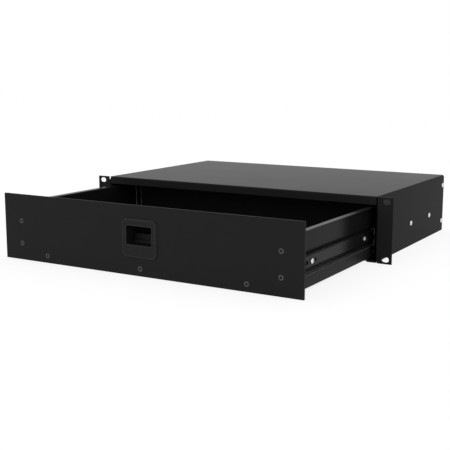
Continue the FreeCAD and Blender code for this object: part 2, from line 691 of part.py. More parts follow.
def latch_bolt():
    """Spring bolt: a frame round the finger cup with a ramped nose on its upper bar."""
    lower_top, upper_bottom = bolt_levels()
    inner, outer = BOLT_LEG
    bottom, top = lower_top - BOLT_BAR, upper_bottom + BOLT_BAR
    middle = (bottom + top) / 2
    frame = prism(xz, rectangle(2 * outer, top - bottom, (0, middle)), BOLT_FRONT, BOLT_REAR, BOLT_CORNER)
    hole_corners = rectangle(2 * inner, upper_bottom - lower_top, (0, (upper_bottom + lower_top) / 2))
    hole = prism(xz, hole_corners, BOLT_FRONT - REACH, BOLT_REAR + REACH, BOLT_CORNER)
    root = top - BOLT_CORNER
    nose_points = [(BOLT_FRONT, root), (BOLT_FRONT, BOLT_NOSE_TOP),
                   (BOLT_FRONT + BOLT_NOSE_FLAT, BOLT_NOSE_TOP),
                   (BOLT_REAR, top + BOLT_NOSE_FOOT), (BOLT_REAR, root)]
    nose_corners = [0, BOLT_CORNER / 2, BOLT_CORNER / 2, 0, 0]
    nose = prism(yz, nose_points, -BOLT_NOSE_HALF, BOLT_NOSE_HALF, nose_corners)
    pocket_bottom, pocket_top = spring_pocket()
    pocket_width = outer - inner - 2 * BOLT_WALL
    pocket_corners = rectangle(pocket_width, pocket_top - pocket_bottom,
                               ((inner + outer) / 2, (pocket_top + pocket_bottom) / 2))
    pocket = prism(xz, pocket_corners, BOLT_FRONT - REACH, BOLT_REAR + REACH)
    return fused([frame, nose]).cut([hole] + both_sides(pocket))


def spring_pocket():
    """Lower and upper ends of the pocket in each leg of the bolt, at rest."""
    lower_top, upper_bottom = bolt_levels()
    return lower_top + SPRING_FLOOR, upper_bottom - SPRING_CEILING


def spring_post_top():
    """Height of the fixed post that each spring stands on."""
    return spring_pocket()[0] + POST_RISE


def latch_springs():
    """Two compression springs that push the bolt up, each coiled from square wire in short steps."""
    rise = spring_pocket()[1] - spring_post_top() - 2 * SPRING_WIRE
    middle = Vector(sum(BOLT_LEG) / 2, (BOLT_FRONT + BOLT_REAR) / 2, spring_post_top() + SPRING_WIRE)
    count = SPRING_TURNS * SPRING_STEPS
    sections = []
    for index in range(count + 1):
        angle = 2 * math.pi * index / SPRING_STEPS
        outward = Vector(math.cos(angle), math.sin(angle), 0)
        level = middle + UP * rise * index / count
        sections.append([level + outward * (SPRING_RADIUS - SPRING_WIRE * (1 - a)) + UP * SPRING_WIRE * b
                         for a, b in ((-1, -1), (1, -1), (1, 1), (-1, 1))])
    faces = [flat_face(sections[0]), flat_face(sections[-1])]
    for before, after in zip(sections, sections[1:]):
        for side in range(4):
            near, far = before[side], before[(side + 1) % 4]
            faces.append(flat_face([near, far, after[side]]))
            faces.append(flat_face([far, after[(side + 1) % 4], after[side]]))
    return Part.makeCompound(both_sides(Part.Solid(Part.Shell(faces))))


def latch_paddle():
    """Finger paddle: a plate above its pivot and an arm forward under the cup that pushes the bolt."""
    half = WINDOW_WIDTH / 2 - LATCH_PLAY
    barrel = rod(BARREL_RADIUS, Vector(-half, PIVOT_Y, PIVOT_Z), Vector(half, PIVOT_Y, PIVOT_Z))
    plate_corners = rectangle(PADDLE_SHEET, PADDLE_TOP - PIVOT_Z, (PIVOT_Y, (PADDLE_TOP + PIVOT_Z) / 2))
    rounding = PADDLE_SHEET * 0.45
    plate = prism(yz, plate_corners, -half, half, [0, 0, rounding, rounding])
    rib_points = [(PIVOT_Y, PIVOT_Z), (PIVOT_Y + PADDLE_RIB_DEPTH, PIVOT_Z),
                  (PIVOT_Y, PADDLE_TOP - PADDLE_SHEET)]
    ribs = [prism(yz, rib_points, x - PADDLE_RIB / 2, x + PADDLE_RIB / 2)
            for x in (-PADDLE_RIB_X, PADDLE_RIB_X)]
    arm_top = PIVOT_Z - PADDLE_ARM_DROP
    arm_bottom = arm_top - PADDLE_ARM_SHEET
    arm_points = [(PIVOT_Y, PIVOT_Z), (PIVOT_Y, arm_bottom), (PIVOT_Y - PADDLE_ARM, arm_bottom),
                  (PIVOT_Y - PADDLE_ARM, arm_top), (PIVOT_Y - BARREL_RADIUS, arm_top)]
    arm = prism(yz, arm_points, -PADDLE_ARM_HALF, PADDLE_ARM_HALF, [0, 0, rounding, rounding, 0])
    bore = rod(PIN_RADIUS + PIN_PLAY,
               Vector(-half - REACH, PIVOT_Y, PIVOT_Z), Vector(half + REACH, PIVOT_Y, PIVOT_Z))
    return fused([barrel, plate, arm] + ribs).cut(bore)


def housing_spans():
    """Inner half widths of the housing's front and rear chambers, and the pin's half length."""
    front = BOLT_LEG[1] + GUIDE_PLAY
    rear = WINDOW_WIDTH / 2 + CUP_WALL + LATCH_PLAY
    return front, rear, rear + HOUSING_WALL - GUIDE_PLAY


def hinge_pin():
    """Steel pin that the paddle turns on."""
    half = housing_spans()[2]
    return rod(PIN_RADIUS, Vector(-half, PIVOT_Y, PIVOT_Z), Vector(half, PIVOT_Y, PIVOT_Z))


def latch_housing():
    """Moulded housing behind the panel: a guide for the bolt, and the box that the fingers reach into."""
    front_half, rear_half, pin_half = housing_spans()
    lower_top, upper_bottom = bolt_levels()
    guide_levels = (lower_top - BOLT_BAR - BOLT_TRAVEL - GUIDE_PLAY, upper_bottom + BOLT_BAR + GUIDE_PLAY)
    box_levels = (PIVOT_Z - HOUSING_DROP, WINDOW_Z + WINDOW_HEIGHT / 2 + CUP_WALL + 2 * LATCH_PLAY)
    guide_rear = BOLT_REAR + GUIDE_PLAY
    wall = HOUSING_WALL

    def chamber(half, levels, start, stop, grow, radius):
        height = levels[1] - levels[0] + 2 * grow
        corners = rectangle(2 * (half + grow), height, (0, sum(levels) / 2))
        return prism(xz, corners, start, stop, radius)

    mount_size = (2 * (STUD_X + STUD_EDGE), STUDS_Z[1] - STUDS_Z[0] + 2 * STUD_EDGE)
    mount_corners = rectangle(*mount_size, (0, sum(STUDS_Z) / 2))
    mount = prism(xz, mount_corners, PANEL_BACK, PANEL_BACK + wall, STUD_EDGE / 2)
    guide = chamber(front_half, guide_levels, PANEL_BACK, guide_rear + wall, wall, HOUSING_CORNER)
    box = chamber(rear_half, box_levels, guide_rear, HOUSING_REAR, wall, HOUSING_CORNER)
    guide_hollow = chamber(front_half, guide_levels, PANEL_BACK - REACH, guide_rear, 0, 0)
    box_hollow = chamber(rear_half, box_levels, PANEL_BACK, HOUSING_REAR - wall, 0, 0)
    nose_half = BOLT_NOSE_HALF + GUIDE_PLAY
    nose_slot = block((-nose_half, nose_half), (PANEL_BACK + wall, guide_rear),
                      (guide_levels[1] - TOUCH, guide_levels[1] + REACH))
    lug_half = LUG_HALF + GUIDE_PLAY
    lug_slot = block((rear_half - REACH, rear_half + REACH), (LUG_FRONT - GUIDE_PLAY, CUP_REAR + GUIDE_PLAY),
                     (WINDOW_Z - lug_half, WINDOW_Z + lug_half))
    cuts = [guide_hollow, box_hollow, nose_slot] + both_sides(lug_slot)
    cuts.append(rod(PIN_RADIUS, Vector(-pin_half, PIVOT_Y, PIVOT_Z), Vector(pin_half, PIVOT_Y, PIVOT_Z)))
    for x, z in stud_places():
        start, stop = Vector(x, PANEL_BACK - REACH, z), Vector(x, PANEL_BACK + REACH, z)
        cuts.append(drill(M3_RADIUS + HOLE_PLAY, start, stop))
    post_x = sum(BOLT_LEG) / 2
    post = block((post_x - POST_WIDTH / 2, post_x + POST_WIDTH / 2),
                 (BOLT_FRONT, guide_rear + wall / 2),
                 (spring_post_top() - POST_HEIGHT, spring_post_top()))
    return fused([fused([mount, guide, box]).cut(cuts)] + both_sides(post))


def stud_places():
    return [(side * STUD_X, z) for side in (-1, 1) for z in STUDS_Z]


def latch_studs():
    """Studs pressed into the panel's back, which carry the latch housing."""
    return Part.makeCompound([
        drill(M3_RADIUS, Vector(x, PANEL_BACK, z), Vector(x, PANEL_BACK + STUD_LENGTH, z))
        for x, z in stud_places()])


def latch_nuts():
    """Nuts that clamp the latch housing to the panel's studs."""
    seat = PANEL_BACK + HOUSING_WALL
    nuts = []
    for x, z in stud_places():
        bore = drill(M3_RADIUS, Vector(x, seat - REACH, z), Vector(x, seat + REACH, z))
        nuts.append(hexagon(M3_NUT, M3_NUT_HEIGHT, Vector(x, seat, z), BACK).cut(bore))
    return Part.makeCompound(nuts)


# ---------------------------------------------------------------- the assembly

def assembly():
    """Every node's name with its shape."""
    return {
        "chassis_cover": chassis_cover(),
        "base_plate": base_plate(),
        "base_screws": base_screws(),
        "rear_panel": rear_panel(),
        "rear_panel_screws": side_screws(rear_screw_places(), REAR_SCREW_LENGTH),
        "slide_screws": side_screws(slide_screw_places(), SLIDE_SCREW_LENGTH),
        "cabinet_member_right": cabinet_member(),
        "cabinet_member_left": mirrored(cabinet_member()),
        "slide_bumpers": slide_bumpers(),
        "ball_cage_right": ball_cage(),
        "ball_cage_left": mirrored(ball_cage()),
        "balls_right": balls(),
        "balls_left": mirrored(balls()),
        "drawer_member_right": drawer_member(),
        "drawer_member_left": mirrored(drawer_member()),
        "member_screws": member_screws(),
        "front_panel": front_panel(),
        "panel_screws": panel_screws(),
        "clinch_nuts": clinch_nuts(),
        "drawer_pan": drawer_pan(),
        "drawer_side_right": drawer_side(),
        "drawer_side_left": mirrored(drawer_side()),
        "drawer_rear_wall": drawer_rear_wall(),
        "latch_bezel": latch_bezel(),
        "latch_housing": latch_housing(),
        "latch_studs": latch_studs(),
        "latch_nuts": latch_nuts(),
        "latch_paddle": latch_paddle(),
        "hinge_pin": hinge_pin(),
        "latch_bolt": latch_bolt(),
        "latch_springs": latch_springs(),
    }


os.makedirs("parts", exist_ok=True)
for name, shape in assembly().items():
    shape.exportStep("parts/" + name + ".step")
    print(name, "solids", len(shape.Solids), "valid", shape.isValid(), "volume", round(shape.Volume))
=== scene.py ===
"""Dresses a two-unit sliding rack drawer.

Sheets, slides and mouldings get their finishes. Screws, nuts, balls and springs are made anew, rounder.
"""

import logging
import math
from abc import ABC, abstractmethod
from dataclasses import dataclass, replace
from enum import Enum
from typing import Callable, Dict, List, Optional, Sequence, Tuple, Union

import bmesh
import bpy
from mathutils import Matrix, Vector


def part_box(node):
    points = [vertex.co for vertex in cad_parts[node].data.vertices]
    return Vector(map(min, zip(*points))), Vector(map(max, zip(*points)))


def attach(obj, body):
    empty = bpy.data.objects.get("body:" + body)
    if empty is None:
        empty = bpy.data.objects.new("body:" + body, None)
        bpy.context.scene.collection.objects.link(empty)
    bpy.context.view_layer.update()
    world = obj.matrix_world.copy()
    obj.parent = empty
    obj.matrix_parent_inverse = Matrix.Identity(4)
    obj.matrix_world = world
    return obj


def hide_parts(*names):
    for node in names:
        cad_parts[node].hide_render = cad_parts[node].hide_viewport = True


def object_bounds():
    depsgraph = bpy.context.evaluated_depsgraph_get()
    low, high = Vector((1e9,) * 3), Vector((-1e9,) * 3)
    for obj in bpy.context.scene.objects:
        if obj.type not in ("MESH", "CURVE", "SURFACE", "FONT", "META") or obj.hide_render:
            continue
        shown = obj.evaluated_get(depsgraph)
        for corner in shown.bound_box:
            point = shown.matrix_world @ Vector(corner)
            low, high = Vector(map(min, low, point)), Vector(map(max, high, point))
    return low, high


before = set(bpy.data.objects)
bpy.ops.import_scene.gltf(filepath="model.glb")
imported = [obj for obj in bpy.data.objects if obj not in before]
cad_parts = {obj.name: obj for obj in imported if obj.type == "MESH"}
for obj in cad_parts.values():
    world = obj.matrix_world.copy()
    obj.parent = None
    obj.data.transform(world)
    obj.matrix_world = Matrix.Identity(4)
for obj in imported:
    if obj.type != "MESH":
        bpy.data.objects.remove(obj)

LOG = logging.getLogger("rack_drawer")
CAD_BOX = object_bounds()
MM = 0.001
WELD = 1e-7  # points of a new form that are closer than this become one
GRID = 1e-6  # corners of the CAD mesh that agree to this are one point
WHITE = (1.0, 1.0, 1.0, 1.0)

Colour = Tuple[float, float, float]
Box = Tuple[Vector, Vector]
Profile = Sequence[Tuple[float, float]]
Ring = List[bmesh.types.BMVert]


# ------------------------------------------------------------------ shader maths

class Wire:
    """A shader socket that takes part in Python arithmetic by adding Math nodes."""

    def __init__(self, shading: "Shading", socket: bpy.types.NodeSocket) -> None:
        """Keeps the socket with the tree it belongs to.

        Args:
            shading: The tree that new Math nodes go into.
            socket: The output socket that this wire stands for.
        """
        self.shading = shading
        self.socket = socket

    def __add__(self, other: "Value") -> "Wire":
        """Sum of two values."""
        return self.shading.maths("ADD", self, other)

    def __radd__(self, other: "Value") -> "Wire":
        """Sum with a number on the left."""
        return self.shading.maths("ADD", other, self)

    def __sub__(self, other: "Value") -> "Wire":
        """Difference of two values."""
        return self.shading.maths("SUBTRACT", self, other)

    def __rsub__(self, other: "Value") -> "Wire":
        """Difference from a number on the left."""
        return self.shading.maths("SUBTRACT", other, self)

    def __mul__(self, other: "Value") -> "Wire":
        """Product of two values."""
        return self.shading.maths("MULTIPLY", self, other)

    def __rmul__(self, other: "Value") -> "Wire":
        """Product with a number on the left."""
        return self.shading.maths("MULTIPLY", other, self)


Value = Union[float, Wire]
Setting = Union[str, float, bool, Sequence[float]]
Inlet = Union[float, Sequence[float], Wire]


class Shading:
    """The node tree of one material, or of the world."""

    def __init__(self, tree: bpy.types.NodeTree) -> None:
        """Empties the tree.

        Args:
            tree: The node tree to fill.
        """
        self.tree = tree
        tree.nodes.clear()

    def add(self, kind: str, settings: Optional[Dict[str, Setting]] = None,
            inlets: Optional[Dict[str, Inlet]] = None) -> bpy.types.Node:
        """Adds one node.

        Args:
            kind: Blender's name of the node's type.
            settings: The node's own properties; "stops" gives a ramp's (place, grey) pairs.
            inlets: What each input socket gets, by identifier or name: a value or a wire.

        Returns:
            The new node.
        """
        node = self.tree.nodes.new(kind)
        for name, value in (settings or {}).items():
            if name == "stops":
                self._fill_ramp(node, value)
            else:
                setattr(node, name, value)
        for name, value in (inlets or {}).items():
            socket = next((one for one in node.inputs if one.identifier == name), None) or node.inputs[name]
            if isinstance(value, Wire):
                self.tree.links.new(value.socket, socket)
            else:
                socket.default_value = value
        return node

    @staticmethod
    def _fill_ramp(node: bpy.types.Node, stops: Sequence[Tuple[float, float]]) -> None:
        """Sets a ramp's stops.

        Args:
            node: The ramp.
            stops: Pairs of place and grey value, at least two.
        """
        elements = node.color_ramp.elements
        while len(elements) < len(stops):
            elements.new(1.0)
        for element, (place, grey) in zip(elements, stops):
            element.position = place
            element.color = (grey, grey, grey, 1.0)

    def wire(self, kind: str, settings: Optional[Dict[str, Setting]] = None,
             inlets: Optional[Dict[str, Inlet]] = None, outlet: Union[int, str] = 0) -> Wire:
        """Adds one node and gives one of its outputs.

        Args:
            kind: Blender's name of the node's type.
            settings: The node's own properties.
            inlets: What each input socket gets.
            outlet: Which output to give.

        Returns:
            The output as a wire.
        """
        return Wire(self, self.add(kind, settings, inlets).outputs[outlet])

    def maths(self, operation: str, left: Value, right: Value = 0.0) -> Wire:
        """Adds a Math node.

        Args:
            operation: The node's operation.
            left: Its first value.
            right: Its second value.

        Returns:
            The result.
        """
        return self.wire("ShaderNodeMath", {"operation": operation}, {"Value": left, "Value_001": right})

    def ramp(self, value: Wire, stops: Sequence[Tuple[float, float]]) -> Wire:
        """Reshapes a value through a ramp.

        Args:
            value: The value from 0 to 1.
            stops: Pairs of place and result.

        Returns:
            The reshaped value.
        """
        return self.wire("ShaderNodeValToRGB", {"stops": stops}, {"Fac": value})

    def blend(self, share: Value, first: Union[Colour, Wire], second: Union[Colour, Wire]) -> Wire:
        """Mixes two colours.

        Args:
            share: How much of the second colour shows.
            first: The colour at 0.
            second: The colour at 1.

        Returns:
            The mixed colour.
        """
        opaque = [one if isinstance(one, Wire) else (*one, 1.0) for one in (first, second)]
        node = self.add("ShaderNodeMix", {"data_type": "RGBA"},
                        {"Factor_Float": share, "A_Color": opaque[0], "B_Color": opaque[1]})
        return Wire(self, next(one for one in node.outputs if one.identifier == "Result_Color"))

    def place(self, scale: Sequence[float] = (1.0, 1.0, 1.0)) -> Wire:
        """Position on the piece, which stays with it as it moves.

        Args:
            scale: What each axis is multiplied by.

        Returns:
            The position as a vector.
        """
        here = self.wire("ShaderNodeTexCoord", outlet="Object")
        return self.wire("ShaderNodeMapping", None, {"Vector": here, "Scale": scale})

    def noise(self, grain: float, detail: float = 2.0, rough: float = 0.5,
              stretch: Sequence[float] = (1.0, 1.0, 1.0)) -> Wire:
        """Cloudy noise over the piece.

        Args:
            grain: Size of one cloud in metres.
            detail: How many finer layers it has.
            rough: How strong those layers are.
            stretch: What each axis is multiplied by; under 1 draws the clouds out along it.

        Returns:
            A value around one half.
        """
        return self.wire("ShaderNodeTexNoise", None, {"Vector": self.place(stretch), "Scale": 1.0 / grain,
                                                      "Detail": detail, "Roughness": rough})

    def edge(self, radius: float, reach: float) -> Tuple[Wire, Wire]:
        """Rounds the piece's edges in shading.

        Args:
            radius: Radius of the rounding in metres.
            reach: How far the normal turns before the mask is full; less makes a wider mask.

        Returns:
            The rounded normal, and a mask that is 1 on edges.
        """
        rounded = self.wire("ShaderNodeBevel", {"samples": 6}, {"Radius": radius})
        flat = self.wire("ShaderNodeNewGeometry", outlet="True Normal")
        agree = self.wire("ShaderNodeVectorMath", {"operation": "DOT_PRODUCT"},
                          {"Vector": rounded, "Vector_001": flat}, "Value")
        return rounded, self.ramp(1.0 - agree, ((reach * 0.05, 0.0), (reach, 1.0)))

    def bump(self, height: Wire, depth: float, strength: float, normal: Optional[Wire] = None) -> Wire:
        """Raises the surface a little in shading.

        Args:
            height: The height, from 0 to 1.
            depth: What a height of 1 stands for, in metres.
            strength: How much of it shows.
            normal: The normal to start from, where it isn't the piece's own.

        Returns:
            The new normal.
        """
        inlets: Dict[str, Inlet] = {"Height": height, "Distance": depth, "Strength": strength}
        if normal is not None:
            inlets["Normal"] = normal
        return self.wire("ShaderNodeBump", None, inlets)


def sway(noise: Wire, width: float) -> Wire:
    """A noise spread about zero, over about this width."""
    return (noise - 0.5) * width


def lighter(colour: Colour, gain: float, lift: float) -> Colour:
    """Lightens a colour.

    Args:
        colour: The colour.
        gain: What each part is multiplied by.
        lift: What is then added.

    Returns:
        The lighter colour.
    """
    return tuple(min(1.0, part * gain + lift) for part in colour)


# ------------------------------------------------------------------ finishes

@dataclass(frozen=True)
class Finish(ABC):
    """A surface finish that any piece can be given."""

    name: str
    colour: Colour
    roughness: float

    @abstractmethod
    def shade(self, shading: Shading) -> Dict[str, Inlet]:
        """Builds what the surface shader's sockets get.

        Args:
            shading: The material's tree.

        Returns:
            Values and wires by socket name.
        """

    def material(self) -> bpy.types.Material:
        """Makes the material, or gives the one that was made before.

        Returns:
            The material.
        """
        known = bpy.data.materials.get(self.name)
        if known:
            return known
        made = bpy.data.materials.new(self.name)
        made.use_nodes = True
        shading = Shading(made.node_tree)
        surface = shading.wire("ShaderNodeBsdfPrincipled", None, self.shade(shading))
        shading.add("ShaderNodeOutputMaterial", None, {"Surface": surface})
        return made

    def dress(self, piece: bpy.types.Object) -> None:
        """Gives a piece this finish all over.

        Args:
            piece: The piece.
        """
        piece.data.materials.clear()
        piece.data.materials.append(self.material())


@dataclass(frozen=True)
class PowderCoat(Finish):
    """Baked powder coat on folded sheet: fine orange peel, soft clouds of gloss, and edges lightened partly
    by wear and partly by a painted highlight.

    The index is the coat's index of refraction. Shares say how much of a pattern shows in the colour, and
    gloss values how far it moves the roughness.
    """

    index: float = 1.2
    peel: float = 0.9 * MM
    peel_depth: float = 0.035 * MM
    peel_gloss: float = 0.08
    cloud: float = 55.0 * MM
    cloud_share: float = 0.12
    cloud_gloss: float = 0.03
    speck: float = 0.45 * MM
    speck_share: float = 0.35
    edge_wear_and_highlight: Colour = (0.022, 0.022, 0.023)
    edge_radius: float = 0.5 * MM
    edge_reach: float = 0.20
    edge_wear_and_highlight_share: float = 0.6

    def shade(self, shading: Shading) -> Dict[str, Inlet]:
        """Builds the coat.

        Args:
            shading: The material's tree.

        Returns:
            Values and wires by socket name.
        """
        normal, edges = shading.edge(self.edge_radius, self.edge_reach)
        clouds = shading.noise(self.cloud, 3.0)
        fine = shading.noise(self.peel, 2.0, 0.6)
        specks = shading.ramp(shading.noise(self.speck, 1.0), ((0.62, 0.0), (0.74, 1.0)))
        mottle = specks * self.speck_share + clouds * self.cloud_share
        coat = shading.blend(mottle, self.colour, lighter(self.colour, 2.2, 0.002))
        return {
            # Base colour lightened on the edges: a little wear, and where the edge colour is light, a painted
            # highlight.
            "Base Color": shading.blend(edges * self.edge_wear_and_highlight_share, coat, self.edge_wear_and_highlight),
            "Roughness": self.roughness + sway(clouds, self.cloud_gloss) + sway(fine, self.peel_gloss),
            "IOR": self.index,
            "Normal": shading.bump(fine, self.peel_depth, 0.6, normal),
        }


@dataclass(frozen=True)
class RolledSteel(Finish):
    """Black-coated rolled section: drawing lines along its length, and races worn bright by the balls."""

    index: float = 1.15
    races: Tuple[float, ...] = ()
    race_width: float = 1.6 * MM
    race_share: float = 0.5
    bare: Colour = (0.32, 0.33, 0.35)
    bare_shine: float = 0.8
    line: float = 0.8 * MM
    line_gloss: float = 0.1
    cloud: float = 30.0 * MM
    cloud_gloss: float = 0.15
    patch: float = 6.0 * MM
    edge_radius: float = 0.6 * MM
    edge_reach: float = 0.10
    edge_lift: float = 0.4

    def shade(self, shading: Shading) -> Dict[str, Inlet]:
        """Builds the coat, with its rubbed lines.

        Args:
            shading: The material's tree.

        Returns:
            Values and wires by socket name.
        """
        normal, edges = shading.edge(self.edge_radius, self.edge_reach)
        lines = shading.noise(self.line, 3.0, 0.6, (1.0, 0.02, 1.0))
        clouds = shading.noise(self.cloud, 2.0)
        patches = shading.noise(self.patch, 2.0, 0.5, (1.0, 0.1, 1.0))
        level = shading.wire("ShaderNodeSeparateXYZ", None, {"Vector": shading.place()}, "Z")
        worn: Value = 0.0
        for height in self.races:
            away = shading.maths("ABSOLUTE", level - height)
            worn = worn + shading.maths("LESS_THAN", away, self.race_width / 2)
        patchy = shading.ramp(patches, ((0.35, 0.0), (0.65, 1.0)))
        rub = shading.maths("MINIMUM", worn * patchy * self.race_share, 1.0)
        coat = shading.blend(lines * 0.5, self.colour, lighter(self.colour, 1.8, 0.004))
        uneven = sway(clouds, self.cloud_gloss) + sway(lines, self.line_gloss)
        return {
            "Base Color": shading.blend(rub, coat, self.bare),
            "Metallic": rub * self.bare_shine,
            "Roughness": self.roughness + uneven + edges * self.edge_lift,
            "IOR": self.index,
            "Normal": shading.bump(lines, 0.02 * MM, 0.5, normal),
        }


@dataclass(frozen=True)
class Plating(Finish):
    """Plated or polished metal with faint blotches and fine handling scratches."""

    tarnish: Colour = (0.48, 0.49, 0.50)
    blotch: float = 2.2 * MM
    blotch_share: float = 0.7
    blotch_dulling: float = 0.12
    scratch: float = 0.25 * MM
    scratch_gloss: float = 0.1

    def shade(self, shading: Shading) -> Dict[str, Inlet]:
        """Builds the metal.

        Args:
            shading: The material's tree.

        Returns:
            Values and wires by socket name.
        """
        blotches = shading.ramp(shading.noise(self.blotch, 3.0, 0.6), ((0.35, 0.0), (0.75, 1.0)))
        scratches = shading.noise(self.scratch, 2.0, 0.7, (1.0, 0.15, 0.6))
        dulling = blotches * self.blotch_dulling + sway(scratches, self.scratch_gloss)
        return {
            "Base Color": shading.blend(blotches * self.blotch_share, self.colour, self.tarnish),
            "Metallic": 1.0,
            "Roughness": self.roughness + dulling,
            "Normal": shading.bump(scratches, 0.01 * MM, 0.5),
        }


@dataclass(frozen=True)
class Moulding(Finish):
    """Glass-filled moulding with a spark-eroded grain, faint flow clouds and a painted highlight along its
    edges.
    """

    index: float = 1.23
    grain: float = 0.35 * MM
    flow: float = 9.0 * MM
    flow_gloss: float = 0.2
    edge_radius: float = 1.0 * MM
    edge_reach: float = 0.05
    painted_edge_highlight: Colour = (0.060, 0.060, 0.062)

    def shade(self, shading: Shading) -> Dict[str, Inlet]:
        """Builds the moulded surface.

        Args:
            shading: The material's tree.

        Returns:
            Values and wires by socket name.
        """
        normal, edges = shading.edge(self.edge_radius, self.edge_reach)
        grain = shading.noise(self.grain, 1.0)
        flow = shading.noise(self.flow, 3.0, 0.6)
        skin = shading.blend(flow * 0.5, self.colour, lighter(self.colour, 2.0, 0.004))
        return {
            # Lighter colour on the edges: a painted highlight on the bezel's chamfers and other moulded
            # edges.
            "Base Color": shading.blend(edges, skin, self.painted_edge_highlight),
            "Roughness": self.roughness + sway(flow, self.flow_gloss),
            "IOR": self.index,
            "Normal": shading.bump(grain, 0.03 * MM, 0.7, normal),
        }


CHASSIS_COAT = PowderCoat("satin_black_powder_coat", (0.0148, 0.0148, 0.0151), 0.24, index=1.045)
DRAWER_COAT = PowderCoat("satin_black_drawer_coat", (0.0068, 0.0068, 0.0070), 0.20, index=1.105)
# The pan's light edge colour is a painted highlight on the top edges of its flanges, standing for the light
# they catch.
PAN_COAT = PowderCoat("satin_black_coat_with_painted_edge_highlight", (0.0170, 0.0170, 0.0173), 0.38, index=1.10,
                      edge_wear_and_highlight=(0.32, 0.32, 0.328), edge_radius=1.4 * MM, edge_reach=0.05)
# The rear wall's coat is painted lighter than the drawer walls' to lift the shade inside the drawer, and its
# light edge colour is a painted highlight along the folds.
REAR_COAT = PowderCoat("satin_black_coat_lightened_with_painted_fold_highlight", (0.0130, 0.0130, 0.0133), 0.24, index=1.05,
                       edge_wear_and_highlight=(0.22, 0.22, 0.225), edge_radius=2.0 * MM, edge_reach=0.03, edge_wear_and_highlight_share=0.9)
PANEL_COAT = PowderCoat("fine_black_panel_coat", (0.0092, 0.0092, 0.0094), 0.55, peel=0.6 * MM)
# Painted shade: the cabinet members get a darker coat than the drawer members, with weaker shine and no edge
# lift, standing for the shade inside the chassis opening.
CABINET_STEEL_PAINTED_SHADE = RolledSteel("black_coated_channel", (0.003, 0.003, 0.0031), 0.35, index=1.06,
                            edge_radius=0.2 * MM, edge_lift=0.0)
DRAWER_STEEL = RolledSteel("black_coated_channel_with_races", (0.006, 0.006, 0.0063), 0.22)
SCREW_BLACK = Plating("black_oxide_steel", (0.085, 0.085, 0.09), 0.34, tarnish=(0.045, 0.045, 0.047))
ZINC = Plating("bright_zinc_plate", (0.80, 0.81, 0.84), 0.22, tarnish=(0.55, 0.56, 0.58))
# Painted shade: the cages' zinc is made dark and dull, standing for the shade they sit in between the
# members.
CAGE_ZINC_PAINTED_SHADE = Plating("zinc_strip_darkened_as_painted_shade", (0.17, 0.17, 0.175), 0.5, tarnish=(0.09, 0.09, 0.092))
BEARING_STEEL = Plating("polished_bearing_steel", (0.85, 0.85, 0.87), 0.08, tarnish=(0.72, 0.72, 0.74))
CAST_ZINC = Plating("die_cast_zinc", (0.38, 0.39, 0.41), 0.5, tarnish=(0.25, 0.26, 0.27), scratch=0.6 * MM)
SPRING_WIRE = Plating("bright_spring_wire", (0.65, 0.66, 0.68), 0.2)
NYLON = Moulding("black_glass_filled_nylon", (0.0068, 0.0068, 0.0071), 0.5)
RUBBER = Moulding("matte_black_rubber", (0.010, 0.010, 0.010), 0.85, grain=0.6 * MM,
                  painted_edge_highlight=(0.014, 0.014, 0.014))


# ------------------------------------------------------------------ mesh helpers

def full_turn(steps: int) -> List[float]:
    """Angles of a full turn in equal steps."""
    return [2 * math.pi * step / steps for step in range(steps)]


def bridge(form: bmesh.types.BMesh, lower: Ring, upper: Ring) -> None:
    """Joins two rings of points by faces; a ring of one point makes a fan.

    Args:
        form: The form that holds the points.
        lower: One ring.
        upper: The other ring, in the same direction.
    """
    count = max(len(lower), len(upper))
    for step in range(count):
        after = (step + 1) % count
        corners = [lower[step % len(lower)], lower[after % len(lower)],
                   upper[after % len(upper)], upper[step % len(upper)]]
        form.faces.new(list(dict.fromkeys(corners)))


def islands(node: str) -> List[Box]:
    """Boxes of the separate solids in a CAD node.

    Args:
        node: The node's name.

    Returns:
        Lowest and highest corner of each solid, in order along X, Y and Z.
    """
    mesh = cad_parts[node].data
    keys = [tuple(round(part / GRID) for part in vertex.co) for vertex in mesh.vertices]
    parent: Dict[Tuple[int, ...], Tuple[int, ...]] = {key: key for key in keys}

    def root(key: Tuple[int, ...]) -> Tuple[int, ...]:
        """Finds the key that stands for a solid.

        Args:
            key: The key of one of its vertices.

        Returns:
            The key that they all lead to.
        """
        while parent[key] != key:
            parent[key] = parent[parent[key]]
            key = parent[key]
        return key

    for edge in mesh.edges:
        first, second = (root(keys[index]) for index in edge.vertices)
        parent[first] = second
    groups: Dict[Tuple[int, ...], List[Vector]] = {}
    for vertex, key in zip(mesh.vertices, keys):
        groups.setdefault(root(key), []).append(vertex.co)
    boxes = [(Vector(map(min, *points)), Vector(map(max, *points))) for points in groups.values()]
    return sorted(boxes, key=lambda box: tuple(round(part, 5) for part in box[0]))


def mesh_object(name: str, form: bmesh.types.BMesh, smooth_angle: float = 35.0) -> bpy.types.Object:
    """Turns a form into a piece in the scene.

    Args:
        name: The piece's name.
        form: The form, which is freed.
        smooth_angle: Edges sharper than this, in degrees, stay crisp.

    Returns:
        The new piece.
    """
    bmesh.ops.remove_doubles(form, verts=form.verts, dist=WELD)
    bmesh.ops.recalc_face_normals(form, faces=form.faces)
    for face in form.faces:
        face.smooth = True
    for edge in form.edges:
        if len(edge.link_faces) != 2 or edge.calc_face_angle(0.0) > math.radians(smooth_angle):
            edge.smooth = False
    mesh = bpy.data.meshes.new(name)
    form.to_mesh(mesh)
    form.free()
    piece = bpy.data.objects.new(name, mesh)
    bpy.context.scene.collection.objects.link(piece)
    return piece


